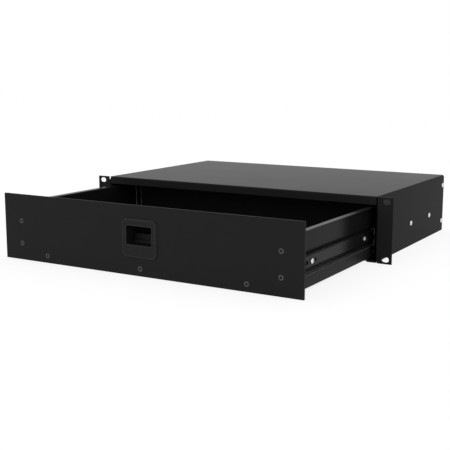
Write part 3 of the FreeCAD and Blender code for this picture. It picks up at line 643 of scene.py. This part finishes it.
def lathe(profile: Profile, segments: int) -> bmesh.types.BMesh:
    """Closed form turned about Z.

    Args:
        profile: Points of (radius, height) from the bottom of the axis to its top.
        segments: Number of steps round.

    Returns:
        The form.
    """
    form = bmesh.new()
    rings: List[Ring] = []
    for radius, height in profile:
        if radius == 0:
            rings.append([form.verts.new((0, 0, height))])
            continue
        rings.append([form.verts.new((radius * math.cos(turn), radius * math.sin(turn), height))
                      for turn in full_turn(segments)])
    for lower, upper in zip(rings, rings[1:]):
        bridge(form, lower, upper)
    return form


def prism(corners: Profile, bottom: float, top: float, flare: float = 1.0) -> bmesh.types.BMesh:
    """Upright bar of any outline, wider or narrower at its top.

    Args:
        corners: The outline, round the axis.
        bottom: Height of the lower end.
        top: Height of the upper end.
        flare: Size of the upper end against the lower.

    Returns:
        The form.
    """
    form = bmesh.new()
    lower = [form.verts.new((x, y, bottom)) for x, y in corners]
    upper = [form.verts.new((x * flare, y * flare, top)) for x, y in corners]
    form.faces.new(lower[::-1])
    form.faces.new(upper)
    bridge(form, lower, upper)
    return form


def carved(body: bmesh.types.BMesh, tool: bmesh.types.BMesh) -> bmesh.types.BMesh:
    """Takes one form out of another.

    Args:
        body: The form that stays; it is freed.
        tool: The form that is taken away; it is freed.

    Returns:
        What is left.
    """
    kept, cutter = mesh_object("carving_body", body), mesh_object("carving_tool", tool)
    cut = kept.modifiers.new("cut", "BOOLEAN")
    cut.operation = "DIFFERENCE"
    cut.solver = "EXACT"
    cut.object = cutter
    bpy.context.view_layer.update()
    result = bmesh.new()
    result.from_mesh(kept.evaluated_get(bpy.context.evaluated_depsgraph_get()).to_mesh())
    for spent in (kept, cutter):
        mesh = spent.data
        bpy.data.objects.remove(spent)
        bpy.data.meshes.remove(mesh)
    return result


def repeated(form: bmesh.types.BMesh, places: Sequence[Matrix]) -> bmesh.types.BMesh:
    """One form set down at several places.

    Args:
        form: The form; it is freed.
        places: Where each copy goes.

    Returns:
        All copies as one form.
    """
    pattern = bpy.data.meshes.new("pattern")
    form.to_mesh(pattern)
    form.free()
    joined = bmesh.new()
    for place in places:
        start = len(joined.verts)
        joined.from_mesh(pattern)
        joined.verts.ensure_lookup_table()
        bmesh.ops.transform(joined, matrix=place, verts=joined.verts[start:])
    bpy.data.meshes.remove(pattern)
    return joined


def standing(at: Vector, outward: Vector, turn: float = 0.0) -> Matrix:
    """Place of a form that stands out from a surface.

    Args:
        at: Where its foot goes.
        outward: Which way its own Z axis points.
        turn: How far it is turned about that axis, in degrees.

    Returns:
        The place.
    """
    aim = outward.to_track_quat("Z", "Y").to_matrix().to_4x4()
    return Matrix.Translation(at) @ aim @ Matrix.Rotation(math.radians(turn), 4, "Z")


# ------------------------------------------------------------------ fasteners

class Drive(Enum):
    """What a screwdriver turns a screw by."""

    CROSS = "cross"
    HEXAGON = "hexagon"


@dataclass
class Screws:
    """A group of like screws that stands for one CAD node.

    The dome is a share of the head's height. The cross is given at its foot, in shares of the head's radius,
    and widens by its flare. Turns about the screws' own axes are in degrees.
    """

    node: str
    name: str
    body: str
    finish: Finish
    slot: str
    outward: Callable[[Vector], Vector]
    drive: Drive
    countersunk: bool = False
    head_radius: float = 3.5 * MM
    head_height: float = 1.8 * MM
    shank_radius: float = 1.94 * MM
    lead: float = 0.4 * MM
    rim: float = 0.05 * MM
    dome: float = 0.62
    recess: float = 1.0 * MM
    hexagon: float = 1.5 * MM
    cross_arm: float = 0.30
    cross_half: float = 0.066
    cross_flare: float = 2.1
    first_turn: float = 17.0
    turn_step: float = 53.0
    segments: int = 40

    def profile(self, length: float) -> List[Tuple[float, float]]:
        """Outline of half a screw, with its top at height 0.

        Args:
            length: From the screw's top to its tip.

        Returns:
            Points of (radius, height).
        """
        shank, head, rim, under = self.shank_radius, self.head_radius, self.rim, -self.head_height
        tip = [(0.0, -length), (shank * 0.8, -length), (shank, -length + self.lead), (shank, under)]
        if self.countersunk:
            return tip + [(head - 3 * rim, -3 * rim), (head, -rim), (head - rim, 0.0), (0.0, 0.0)]
        crown = [(head * math.cos(turn) ** 0.7, under * self.dome * (1 - math.sin(turn)))
                 for turn in (math.radians(15 * step) for step in range(6))]
        return tip + [(head - 2 * rim, under), (head, under + 2 * rim)] + crown + [(0.0, 0.0)]

    def recess_form(self) -> bmesh.types.BMesh:
        """The hollow that the driver fits.

        Returns:
            The form to take out of the head.
        """
        depth, over = -self.recess, 0.5 * MM
        if self.drive is Drive.HEXAGON:
            corners = [(self.hexagon * math.cos(turn), self.hexagon * math.sin(turn))
                       for turn in full_turn(6)]
            return prism(corners, depth, over)
        arm, half = self.head_radius * self.cross_arm, self.head_radius * self.cross_half
        quarter = [(half, half), (half, arm), (-half, arm)]
        corners = []
        for _ in range(4):
            corners += quarter
            quarter = [(-y, x) for x, y in quarter]
        return prism(corners, depth, over, self.cross_flare)

    def build(self) -> bpy.types.Object:
        """Makes the screws where the CAD node has them.

        Returns:
            The piece.
        """
        places = []
        length = 0.0
        for index, (low, high) in enumerate(islands(self.node)):
            middle = (low + high) / 2
            outward = self.outward(middle)
            reach = abs((high - low).dot(outward))
            length = max(length, reach)
            places.append(standing(middle + outward * reach / 2, outward,
                                   self.first_turn + self.turn_step * index))
        one = carved(lathe(self.profile(length), self.segments), self.recess_form())
        piece = mesh_object(self.name, repeated(one, places))
        self.finish.dress(piece)
        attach(piece, self.body)
        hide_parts(self.node)
        return piece


def sideways(middle: Vector) -> Vector:
    """Away from the drawer's middle, to the left or to the right."""
    return Vector((math.copysign(1.0, middle.x), 0, 0))


def forwards(_middle: Vector) -> Vector:
    """Out of the front panel."""
    return Vector((0, -1, 0))


def downwards(_middle: Vector) -> Vector:
    """Out of the floor."""
    return Vector((0, 0, -1))


# ------------------------------------------------------------------ sub-assemblies

@dataclass
class Chassis:
    """Cover with ears, floor plate, rear panel and the screws that hold them."""

    body: str = "chassis"
    sheets: Tuple[str, ...] = ("chassis_cover", "base_plate", "rear_panel")
    bumpers: str = "slide_bumpers"

    def build(self) -> List[bpy.types.Object]:
        """Makes the turned fasteners.

        Returns:
            The new pieces.
        """
        return [
            Screws("slide_screws", "slide_pan_screws", self.body, ZINC, "zinc_screw", sideways,
                   Drive.CROSS).build(),
            Screws("rear_panel_screws", "rear_pan_screws", self.body, ZINC, "zinc_screw", sideways,
                   Drive.CROSS).build(),
            Screws("base_screws", "floor_flat_screws", self.body, SCREW_BLACK, "black_screw", downwards,
                   Drive.CROSS, countersunk=True, head_radius=3.55 * MM, head_height=1.2 * MM,
                   recess=0.9 * MM).build(),
        ]

    def dress(self) -> None:
        """Coats the folded sheets and the rubber bumpers."""
        for name in self.sheets:
            CHASSIS_COAT.dress(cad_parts[name])
        RUBBER.dress(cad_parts[self.bumpers])


@dataclass
class Slides:
    """Rolled members, ball cages and balls of both slides."""

    sides: Tuple[str, ...] = ("right", "left")
    ball_rings: int = 10
    ball_segments: int = 20
    race_inset: float = 1.5 * MM

    def build(self) -> List[bpy.types.Object]:
        """Makes the round balls and the members' screws.

        Returns:
            The new pieces.
        """
        made = [self.balls(side) for side in self.sides]
        made.append(Screws("member_screws", "member_pan_screws", "drawer", ZINC, "zinc_screw", sideways,
                           Drive.CROSS).build())
        return made

    def balls(self, side: str) -> bpy.types.Object:
        """Makes one slide's balls.

        Args:
            side: Which slide.

        Returns:
            The piece.
        """
        node = "balls_" + side
        boxes = islands(node)
        radius = (boxes[0][1].z - boxes[0][0].z) / 2
        profile = [(radius * math.sin(turn), -radius * math.cos(turn))
                   for turn in (math.pi * ring / self.ball_rings for ring in range(1, self.ball_rings))]
        form = lathe([(0.0, -radius)] + profile + [(0.0, radius)], self.ball_segments)
        places = [Matrix.Translation((low + high) / 2) for low, high in boxes]
        piece = mesh_object("round_balls_" + side, repeated(form, places), 80.0)
        BEARING_STEEL.dress(piece)
        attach(piece, side + "_cage")
        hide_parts(node)
        return piece

    def dress(self) -> None:
        """Coats the members, with their races worn bright, and plates the cages in zinc darkened as painted
        shade.
        """
        low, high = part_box("balls_right")
        raced = replace(DRAWER_STEEL, races=(low.z + self.race_inset, high.z - self.race_inset))
        for side in self.sides:
            CABINET_STEEL_PAINTED_SHADE.dress(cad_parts["cabinet_member_" + side])
            raced.dress(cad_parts["drawer_member_" + side])
            CAGE_ZINC_PAINTED_SHADE.dress(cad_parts["ball_cage_" + side])


@dataclass
class ClinchNuts:
    """Round nuts with knurled rims behind the front flanges.

    The knurls end at the shoulder, a share of the height. The crest is the top rim's size against the knurls.
    """

    node: str = "clinch_nuts"
    teeth: int = 24
    bore: float = 2.0 * MM
    mouth: float = 1.8 * MM
    knurl: float = 0.18 * MM
    shoulder: float = 0.7
    crest: float = 0.93

    def build(self) -> bpy.types.Object:
        """Makes the nuts where the CAD node has them.

        Returns:
            The piece.
        """
        boxes = islands(self.node)
        height = boxes[0][1].y - boxes[0][0].y
        radius = (boxes[0][1].x - boxes[0][0].x) / 2
        turns = full_turn(2 * self.teeth)
        rim = [radius - (self.knurl if index % 2 else 0.0) for index in range(len(turns))]
        form = bmesh.new()
        rings = []
        for reaches, level in ((rim, 0.0), (rim, height * self.shoulder),
                               ([reach * self.crest for reach in rim], height),
                               ([self.mouth] * len(turns), height), ([self.bore] * len(turns), 0.0)):
            rings.append([form.verts.new((reach * math.cos(turn), reach * math.sin(turn), level))
                          for reach, turn in zip(reaches, turns)])
        for ring, after in zip(rings, rings[1:] + rings[:1]):
            bridge(form, ring, after)
        places = [standing(Vector(((low.x + high.x) / 2, low.y, (low.z + high.z) / 2)), Vector((0, 1, 0)))
                  for low, high in boxes]
        piece = mesh_object("knurled_clinch_nuts", repeated(form, places))
        ZINC.dress(piece)
        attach(piece, "drawer")
        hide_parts(self.node)
        return piece


@dataclass
class Drawer:
    """Front panel, pan and walls, with the screws and nuts that join them."""

    walls: Tuple[str, ...] = ("drawer_side_right", "drawer_side_left")

    def build(self) -> List[bpy.types.Object]:
        """Makes the panel's screws and nuts.

        Returns:
            The new pieces.
        """
        screws = Screws("panel_screws", "panel_flat_screws", "drawer", SCREW_BLACK, "black_screw", forwards,
                        Drive.HEXAGON, countersunk=True, head_radius=3.3 * MM, recess=2.6 * MM)
        return [screws.build(), ClinchNuts().build()]

    def dress(self) -> None:
        """Coats the panel and the folded sheets."""
        PANEL_COAT.dress(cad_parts["front_panel"])
        for name in self.walls:
            DRAWER_COAT.dress(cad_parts[name])
        REAR_COAT.dress(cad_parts["drawer_rear_wall"])
        PAN_COAT.dress(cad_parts["drawer_pan"])


@dataclass
class Latch:
    """Finger cup, housing, paddle, bolt, pin and springs."""

    mouldings: Tuple[str, ...] = ("latch_bezel", "latch_housing", "latch_paddle")
    turns: int = 6
    steps: int = 16
    wire_radius: float = 0.25 * MM
    section: int = 8

    def build(self) -> List[bpy.types.Object]:
        """Makes the coiled springs.

        Returns:
            The new pieces.
        """
        return [self.springs()]

    def springs(self) -> bpy.types.Object:
        """Coils round wire where the CAD node has its two springs.

        Returns:
            The piece.
        """
        form = bmesh.new()
        upward = Vector((0, 0, 1))
        count = self.turns * self.steps
        for low, high in islands("latch_springs"):
            middle = (low + high) / 2
            foot = Vector((middle.x, middle.y, low.z + self.wire_radius))
            radius = (high.x - low.x) / 2 - self.wire_radius
            rise = (high.z - low.z - 2 * self.wire_radius) / count
            rings = []
            for index in range(count + 1):
                turn = 2 * math.pi * index / self.steps
                outward = Vector((math.cos(turn), math.sin(turn), 0))
                centre = foot + upward * rise * index + outward * radius
                rings.append([form.verts.new(centre + self.wire_radius * (outward * math.cos(side)
                                                                          + upward * math.sin(side)))
                              for side in full_turn(self.section)])
            for ring, after in zip(rings, rings[1:]):
                bridge(form, ring, after)
            form.faces.new(rings[0])
            form.faces.new(rings[-1][::-1])
        piece = mesh_object("coiled_latch_springs", form, 60.0)
        SPRING_WIRE.dress(piece)
        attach(piece, "drawer")
        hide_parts("latch_springs")
        return piece

    def dress(self) -> None:
        """Grains the mouldings and plates the metal pieces."""
        for name in self.mouldings:
            NYLON.dress(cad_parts[name])
        CAST_ZINC.dress(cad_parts["latch_bolt"])
        BEARING_STEEL.dress(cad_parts["hinge_pin"])
        for name in ("latch_studs", "latch_nuts"):
            ZINC.dress(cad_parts[name])


# ------------------------------------------------------------------ studio

@dataclass
class Studio:
    """White floor and surround, one soft lamp and the camera."""

    floor_half: float = 6.0
    floor_colour: Colour = (0.98, 0.98, 0.98)
    shadow_share: float = 0.15
    surround: float = 1.0
    lamp_at: Tuple[float, float, float] = (-0.6, 0.5, 1.6)
    lamp_size: float = 1.2
    lamp_power: float = 6.0
    camera_at: Tuple[float, float, float] = (0.6274, -1.0662, 0.2046)
    camera_turn: Tuple[float, float, float] = (80.03, 0.0, 30.93)
    lens: float = 69.94
    sensor: float = 36.0
    sight: Tuple[float, float] = (0.01, 50.0)

    def plain_rays(self, shading: Shading) -> Wire:
        """Tells rays that show the background as it is.

        Args:
            shading: The tree to work in.

        Returns:
            1 for camera, glossy and transmission rays, and 0 for others.
        """
        path = shading.add("ShaderNodeLightPath")
        seen, glossy, through = (Wire(shading, path.outputs["Is %s Ray" % name])
                                 for name in ("Camera", "Glossy", "Transmission"))
        return shading.maths("MAXIMUM", shading.maths("MAXIMUM", seen, glossy), through)

    def floor(self) -> bpy.types.Object:
        """Lays the floor under the lowest point of the object.

        Returns:
            The floor.
        """
        form = bmesh.new()
        bmesh.ops.create_grid(form, x_segments=1, y_segments=1, size=self.floor_half)
        piece = mesh_object("studio_floor", form)
        piece.location.z = CAD_BOX[0].z
        made = bpy.data.materials.new("pale_floor")
        made.use_nodes = True
        shading = Shading(made.node_tree)
        lit = shading.wire("ShaderNodeBsdfDiffuse", None, {"Color": (*self.floor_colour, 1.0)})
        white = shading.wire("ShaderNodeEmission", None, {"Color": WHITE, "Strength": 1.0})
        share = self.plain_rays(shading) * (1.0 - self.shadow_share)
        surface = shading.wire("ShaderNodeMixShader", None,
                               {"Fac": share, "Shader": lit, "Shader_001": white})
        shading.add("ShaderNodeOutputMaterial", None, {"Surface": surface})
        piece.data.materials.append(made)
        return piece

    def world(self) -> None:
        """Surrounds the object with even white light."""
        made = bpy.data.worlds.new("studio")
        made.use_nodes = True
        shading = Shading(made.node_tree)
        white = shading.wire("ShaderNodeBackground", None, {"Color": WHITE, "Strength": self.surround})
        shading.add("ShaderNodeOutputWorld", None, {"Surface": white})
        bpy.context.scene.world = made

    def lamp(self) -> None:
        """Hangs one soft lamp that shines on the middle of the object."""
        data = bpy.data.lights.new("key", "AREA")
        data.size = self.lamp_size
        data.energy = self.lamp_power
        lamp = bpy.data.objects.new("key", data)
        lamp.location = self.lamp_at
        lamp.rotation_euler = (-Vector(self.lamp_at)).to_track_quat("-Z", "Y").to_euler()
        bpy.context.scene.collection.objects.link(lamp)

    def camera(self) -> None:
        """Sets up the camera."""
        data = bpy.data.cameras.new("camera")
        data.lens = self.lens
        data.sensor_width = self.sensor
        data.clip_start, data.clip_end = self.sight
        eye = bpy.data.objects.new("camera", data)
        eye.location = self.camera_at
        eye.rotation_euler = [math.radians(turn) for turn in self.camera_turn]
        bpy.context.scene.collection.objects.link(eye)
        bpy.context.scene.camera = eye

    def build(self) -> None:
        """Makes the whole studio."""
        self.floor()
        self.world()
        self.lamp()
        self.camera()
        bpy.context.scene.view_settings.view_transform = "Standard"


def main() -> None:
    """Builds and dresses every sub-assembly, then the studio."""
    logging.basicConfig(level=logging.INFO, format="%(message)s")
    for assembly in (Chassis(), Slides(), Drawer(), Latch()):
        for piece in assembly.build():
            LOG.info("built %s with %d faces", piece.name, len(piece.data.polygons))
        assembly.dress()
        LOG.info("dressed %s", type(assembly).__name__)
    Studio().build()


if __name__ == "__main__":
    main()
